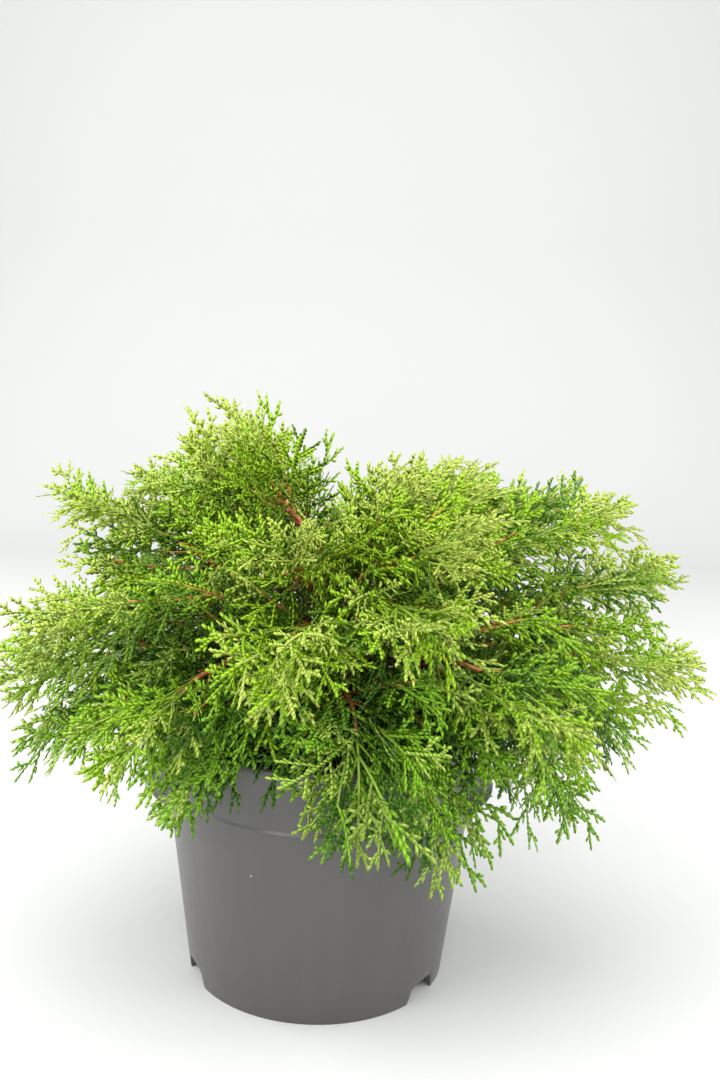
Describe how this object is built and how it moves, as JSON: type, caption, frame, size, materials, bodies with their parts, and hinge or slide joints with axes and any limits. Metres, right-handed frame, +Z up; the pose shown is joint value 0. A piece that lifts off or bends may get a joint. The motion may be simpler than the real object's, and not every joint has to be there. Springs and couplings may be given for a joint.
{
  "type": "green globe lawson cypress",
  "caption": "Low, wide dwarf conifer with flat sprays of scale foliage spreading from a short hidden trunk, in a round tapered nursery pot.",
  "frame": {"origin": "centre of the pot's flat underside", "axes": "+Z up along the pot's axis, -Y towards the front, +X to the right seen from the front"},
  "size_m": [0.4985, 0.3949, 0.4178],
  "materials": {
    "pot": "satin moulded taupe grey plastic",
    "potting_mix": "crumbly dark bark and peat",
    "bark": "orange-brown bark",
    "foliage_bright": "yellow-green scale foliage",
    "foliage_light": "light green scale foliage",
    "foliage_mid": "mid green scale foliage",
    "foliage_deep": "deep green scale foliage"
  },
  "bodies": {
    "root": {"bough_crest_1": "bark", "bough_crest_2": "bark", "bough_crest_3": "bark", "bough_crest_4": "bark", "bough_crest_5": "bark", "bough_leader_1": "bark", "bough_shoulder_1": "bark", "bough_shoulder_2": "bark", "bough_shoulder_3": "bark", "bough_shoulder_4": "bark", "bough_shoulder_5": "bark", "bough_shoulder_6": "bark", "bough_shoulder_7": "bark", "bough_shoulder_8": "bark", "bough_skirt_1": "bark", "bough_skirt_2": "bark", "bough_skirt_3": "bark", "bough_skirt_4": "bark", "bough_skirt_5": "bark", "bough_skirt_6": "bark", "bough_skirt_7": "bark", "bough_waist_1": "bark", "bough_waist_2": "bark", "bough_waist_3": "bark", "bough_waist_4": "bark", "bough_waist_5": "bark", "bough_waist_6": "bark", "bough_waist_7": "bark", "foliage_crest_1": "foliage_bright", "foliage_crest_2": "foliage_bright", "foliage_crest_3": "foliage_bright", "foliage_crest_4": "foliage_bright", "foliage_crest_5": "foliage_bright", "foliage_leader_1": "foliage_bright", "foliage_shoulder_1": "foliage_light", "foliage_shoulder_2": "foliage_light", "foliage_shoulder_3": "foliage_light", "foliage_shoulder_4": "foliage_light", "foliage_shoulder_5": "foliage_light", "foliage_shoulder_6": "foliage_light", "foliage_shoulder_7": "foliage_light", "foliage_shoulder_8": "foliage_light", "foliage_skirt_1": "foliage_deep", "foliage_skirt_2": "foliage_deep", "foliage_skirt_3": "foliage_deep", "foliage_skirt_4": "foliage_deep", "foliage_skirt_5": "foliage_deep", "foliage_skirt_6": "foliage_deep", "foliage_skirt_7": "foliage_deep", "foliage_waist_1": "foliage_mid", "foliage_waist_2": "foliage_mid", "foliage_waist_3": "foliage_mid", "foliage_waist_4": "foliage_mid", "foliage_waist_5": "foliage_mid", "foliage_waist_6": "foliage_mid", "foliage_waist_7": "foliage_mid", "pot": "pot", "potting_mix": "potting_mix", "trunk": "bark"}
  },
  "joints": []
}
